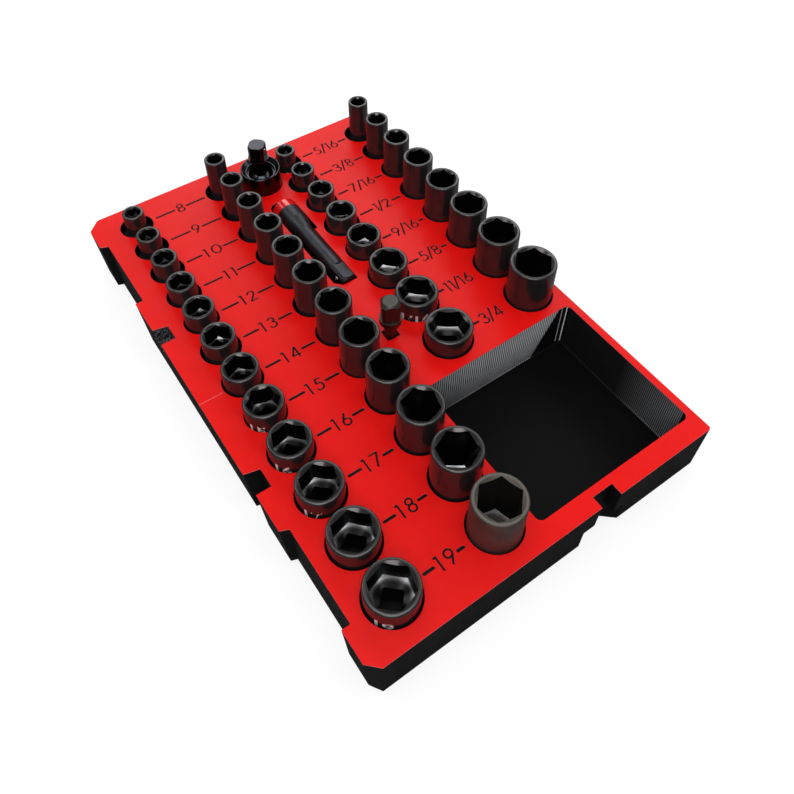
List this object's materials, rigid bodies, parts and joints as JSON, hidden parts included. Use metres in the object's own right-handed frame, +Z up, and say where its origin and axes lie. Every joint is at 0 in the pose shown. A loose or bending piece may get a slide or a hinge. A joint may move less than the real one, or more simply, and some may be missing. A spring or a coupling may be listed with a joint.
{
  "type": "socket organizer tray",
  "caption": "Rectangular tray with round pockets that hold shallow and deep wrench sockets upright, a lying extension bar, a universal joint, an adapter and an open bin.",
  "frame": {"origin": "centre of the tray's outline on the plane that its underside stands on", "axes": "+X to the right along the front wall, +Y to the rear along the columns of sockets, +Z up"},
  "size_m": [0.2, 0.31, 0.0653],
  "materials": {
    "tray_plastic": "matt, fine layer lines",
    "red_plastic": "satin, faint mottle",
    "socket_steel": "black oxide, oiled gloss",
    "joint_steel": "black oxide, gloss",
    "tool_steel": "phosphated, semi-matt",
    "ring_red": "gloss",
    "bright_steel": "polished",
    "spring_steel": "blued wire"
  },
  "bodies": {
    "tray": {"tray_body": "tray_plastic", "top_skin": "red_plastic"},
    "metric_shallow_08": {"metric_shallow_08": "socket_steel"},
    "metric_shallow_09": {"metric_shallow_09": "socket_steel"},
    "metric_shallow_10": {"metric_shallow_10": "socket_steel"},
    "metric_shallow_11": {"metric_shallow_11": "socket_steel"},
    "metric_shallow_12": {"metric_shallow_12": "socket_steel"},
    "metric_shallow_13": {"metric_shallow_13": "socket_steel"},
    "metric_shallow_14": {"metric_shallow_14": "socket_steel"},
    "metric_shallow_15": {"metric_shallow_15": "socket_steel"},
    "metric_shallow_16": {"metric_shallow_16": "socket_steel"},
    "metric_shallow_17": {"metric_shallow_17": "socket_steel"},
    "metric_shallow_18": {"metric_shallow_18": "socket_steel"},
    "metric_shallow_19": {"metric_shallow_19": "socket_steel"},
    "metric_deep_08": {"metric_deep_08": "socket_steel"},
    "metric_deep_09": {"metric_deep_09": "socket_steel"},
    "metric_deep_10": {"metric_deep_10": "socket_steel"},
    "metric_deep_11": {"metric_deep_11": "socket_steel"},
    "metric_deep_12": {"metric_deep_12": "socket_steel"},
    "metric_deep_13": {"metric_deep_13": "socket_steel"},
    "metric_deep_14": {"metric_deep_14": "socket_steel"},
    "metric_deep_15": {"metric_deep_15": "socket_steel"},
    "metric_deep_16": {"metric_deep_16": "socket_steel"},
    "metric_deep_17": {"metric_deep_17": "socket_steel"},
    "metric_deep_18": {"metric_deep_18": "socket_steel"},
    "metric_deep_19": {"metric_deep_19": "socket_steel"},
    "inch_shallow_5_16": {"inch_shallow_5_16": "socket_steel"},
    "inch_shallow_3_8": {"inch_shallow_3_8": "socket_steel"},
    "inch_shallow_7_16": {"inch_shallow_7_16": "socket_steel"},
    "inch_shallow_1_2": {"inch_shallow_1_2": "socket_steel"},
    "inch_shallow_9_16": {"inch_shallow_9_16": "socket_steel"},
    "inch_shallow_5_8": {"inch_shallow_5_8": "socket_steel"},
    "inch_shallow_11_16": {"inch_shallow_11_16": "socket_steel"},
    "inch_shallow_3_4": {"inch_shallow_3_4": "socket_steel"},
    "inch_deep_5_16": {"inch_deep_5_16": "socket_steel"},
    "inch_deep_3_8": {"inch_deep_3_8": "socket_steel"},
    "inch_deep_7_16": {"inch_deep_7_16": "socket_steel"},
    "inch_deep_1_2": {"inch_deep_1_2": "socket_steel"},
    "inch_deep_9_16": {"inch_deep_9_16": "socket_steel"},
    "inch_deep_5_8": {"inch_deep_5_8": "socket_steel"},
    "inch_deep_11_16": {"inch_deep_11_16": "socket_steel"},
    "inch_deep_3_4": {"inch_deep_3_4": "socket_steel"},
    "universal_joint": {"joint_housing": "joint_steel", "joint_snap_ring": "spring_steel"},
    "joint_pin": {"joint_cross_pin": "spring_steel"},
    "joint_tang": {"joint_tang": "joint_steel"},
    "joint_detent": {"joint_tang_ball": "bright_steel", "joint_tang_spring": "spring_steel"},
    "extension": {"extension_bar": "tool_steel", "extension_ring": "ring_red"},
    "extension_detent": {"extension_ball": "bright_steel", "extension_spring": "spring_steel"},
    "adapter": {"adapter_body": "tool_steel"},
    "adapter_detent": {"adapter_ball": "bright_steel", "adapter_spring": "spring_steel"}
  },
  "joints": [
    {"name": "lift_metric_shallow_08", "type": "slide", "parent": "tray", "child": "metric_shallow_08", "axis": [0, 0, 1], "range_m": [0, 0.025]},
    {"name": "lift_metric_shallow_09", "type": "slide", "parent": "tray", "child": "metric_shallow_09", "axis": [0, 0, 1], "range_m": [0, 0.025]},
    {"name": "lift_metric_shallow_10", "type": "slide", "parent": "tray", "child": "metric_shallow_10", "axis": [0, 0, 1], "range_m": [0, 0.025]},
    {"name": "lift_metric_shallow_11", "type": "slide", "parent": "tray", "child": "metric_shallow_11", "axis": [0, 0, 1], "range_m": [0, 0.025]},
    {"name": "lift_metric_shallow_12", "type": "slide", "parent": "tray", "child": "metric_shallow_12", "axis": [0, 0, 1], "range_m": [0, 0.025]},
    {"name": "lift_metric_shallow_13", "type": "slide", "parent": "tray", "child": "metric_shallow_13", "axis": [0, 0, 1], "range_m": [0, 0.025]},
    {"name": "lift_metric_shallow_14", "type": "slide", "parent": "tray", "child": "metric_shallow_14", "axis": [0, 0, 1], "range_m": [0, 0.025]},
    {"name": "lift_metric_shallow_15", "type": "slide", "parent": "tray", "child": "metric_shallow_15", "axis": [0, 0, 1], "range_m": [0, 0.025]},
    {"name": "lift_metric_shallow_16", "type": "slide", "parent": "tray", "child": "metric_shallow_16", "axis": [0, 0, 1], "range_m": [0, 0.025]},
    {"name": "lift_metric_shallow_17", "type": "slide", "parent": "tray", "child": "metric_shallow_17", "axis": [0, 0, 1], "range_m": [0, 0.025]},
    {"name": "lift_metric_shallow_18", "type": "slide", "parent": "tray", "child": "metric_shallow_18", "axis": [0, 0, 1], "range_m": [0, 0.025]},
    {"name": "lift_metric_shallow_19", "type": "slide", "parent": "tray", "child": "metric_shallow_19", "axis": [0, 0, 1], "range_m": [0, 0.025]},
    {"name": "lift_metric_deep_08", "type": "slide", "parent": "tray", "child": "metric_deep_08", "axis": [0, 0, 1], "range_m": [0, 0.04]},
    {"name": "lift_metric_deep_09", "type": "slide", "parent": "tray", "child": "metric_deep_09", "axis": [0, 0, 1], "range_m": [0, 0.04]},
    {"name": "lift_metric_deep_10", "type": "slide", "parent": "tray", "child": "metric_deep_10", "axis": [0, 0, 1], "range_m": [0, 0.04]},
    {"name": "lift_metric_deep_11", "type": "slide", "parent": "tray", "child": "metric_deep_11", "axis": [0, 0, 1], "range_m": [0, 0.04]},
    {"name": "lift_metric_deep_12", "type": "slide", "parent": "tray", "child": "metric_deep_12", "axis": [0, 0, 1], "range_m": [0, 0.04]},
    {"name": "lift_metric_deep_13", "type": "slide", "parent": "tray", "child": "metric_deep_13", "axis": [0, 0, 1], "range_m": [0, 0.04]},
    {"name": "lift_metric_deep_14", "type": "slide", "parent": "tray", "child": "metric_deep_14", "axis": [0, 0, 1], "range_m": [0, 0.04]},
    {"name": "lift_metric_deep_15", "type": "slide", "parent": "tray", "child": "metric_deep_15", "axis": [0, 0, 1], "range_m": [0, 0.04]},
    {"name": "lift_metric_deep_16", "type": "slide", "parent": "tray", "child": "metric_deep_16", "axis": [0, 0, 1], "range_m": [0, 0.04]},
    {"name": "lift_metric_deep_17", "type": "slide", "parent": "tray", "child": "metric_deep_17", "axis": [0, 0, 1], "range_m": [0, 0.04]},
    {"name": "lift_metric_deep_18", "type": "slide", "parent": "tray", "child": "metric_deep_18", "axis": [0, 0, 1], "range_m": [0, 0.04]},
    {"name": "lift_metric_deep_19", "type": "slide", "parent": "tray", "child": "metric_deep_19", "axis": [0, 0, 1], "range_m": [0, 0.04]},
    {"name": "lift_inch_shallow_5_16", "type": "slide", "parent": "tray", "child": "inch_shallow_5_16", "axis": [0, 0, 1], "range_m": [0, 0.025]},
    {"name": "lift_inch_shallow_3_8", "type": "slide", "parent": "tray", "child": "inch_shallow_3_8", "axis": [0, 0, 1], "range_m": [0, 0.025]},
    {"name": "lift_inch_shallow_7_16", "type": "slide", "parent": "tray", "child": "inch_shallow_7_16", "axis": [0, 0, 1], "range_m": [0, 0.025]},
    {"name": "lift_inch_shallow_1_2", "type": "slide", "parent": "tray", "child": "inch_shallow_1_2", "axis": [0, 0, 1], "range_m": [0, 0.025]},
    {"name": "lift_inch_shallow_9_16", "type": "slide", "parent": "tray", "child": "inch_shallow_9_16", "axis": [0, 0, 1], "range_m": [0, 0.025]},
    {"name": "lift_inch_shallow_5_8", "type": "slide", "parent": "tray", "child": "inch_shallow_5_8", "axis": [0, 0, 1], "range_m": [0, 0.025]},
    {"name": "lift_inch_shallow_11_16", "type": "slide", "parent": "tray", "child": "inch_shallow_11_16", "axis": [0, 0, 1], "range_m": [0, 0.025]},
    {"name": "lift_inch_shallow_3_4", "type": "slide", "parent": "tray", "child": "inch_shallow_3_4", "axis": [0, 0, 1], "range_m": [0, 0.025]},
    {"name": "lift_inch_deep_5_16", "type": "slide", "parent": "tray", "child": "inch_deep_5_16", "axis": [0, 0, 1], "range_m": [0, 0.04]},
    {"name": "lift_inch_deep_3_8", "type": "slide", "parent": "tray", "child": "inch_deep_3_8", "axis": [0, 0, 1], "range_m": [0, 0.04]},
    {"name": "lift_inch_deep_7_16", "type": "slide", "parent": "tray", "child": "inch_deep_7_16", "axis": [0, 0, 1], "range_m": [0, 0.04]},
    {"name": "lift_inch_deep_1_2", "type": "slide", "parent": "tray", "child": "inch_deep_1_2", "axis": [0, 0, 1], "range_m": [0, 0.04]},
    {"name": "lift_inch_deep_9_16", "type": "slide", "parent": "tray", "child": "inch_deep_9_16", "axis": [0, 0, 1], "range_m": [0, 0.04]},
    {"name": "lift_inch_deep_5_8", "type": "slide", "parent": "tray", "child": "inch_deep_5_8", "axis": [0, 0, 1], "range_m": [0, 0.04]},
    {"name": "lift_inch_deep_11_16", "type": "slide", "parent": "tray", "child": "inch_deep_11_16", "axis": [0, 0, 1], "range_m": [0, 0.04]},
    {"name": "lift_inch_deep_3_4", "type": "slide", "parent": "tray", "child": "inch_deep_3_4", "axis": [0, 0, 1], "range_m": [0, 0.04]},
    {"name": "lift_universal_joint", "type": "slide", "parent": "tray", "child": "universal_joint", "axis": [0, 0, 1], "range_m": [0, 0.032]},
    {"name": "joint_pin_tilt", "type": "hinge", "parent": "universal_joint", "child": "joint_pin", "pos_m": [0.0055, 0.128, 0.0356], "axis": [0.682, 0.7314, 0], "range_deg": [-17, 17]},
    {"name": "joint_tang_tilt", "type": "hinge", "parent": "joint_pin", "child": "joint_tang", "pos_m": [0.0055, 0.128, 0.0356], "axis": [0.7314, -0.682, 0], "range_deg": [-17, 17]},
    {"name": "joint_detent_press", "type": "slide", "parent": "joint_tang", "child": "joint_detent", "axis": [-0.7314, 0.682, 0], "range_m": [0, 0.0005], "stiffness_N_per_m": 250, "springref_m": -0.001},
    {"name": "lift_extension", "type": "slide", "parent": "tray", "child": "extension", "axis": [0, 0, 1], "range_m": [0, 0.03]},
    {"name": "extension_detent_press", "type": "slide", "parent": "extension", "child": "extension_detent", "axis": [0.9781, 0, -0.2079], "range_m": [0, 0.0005], "stiffness_N_per_m": 250, "springref_m": -0.001},
    {"name": "lift_adapter", "type": "slide", "parent": "tray", "child": "adapter", "axis": [0, 0, 1], "range_m": [0, 0.032]},
    {"name": "adapter_detent_press", "type": "slide", "parent": "adapter", "child": "adapter_detent", "axis": [0.9063, -0.4226, 0], "range_m": [0, 0.0005], "stiffness_N_per_m": 250, "springref_m": -0.001}
  ]
}
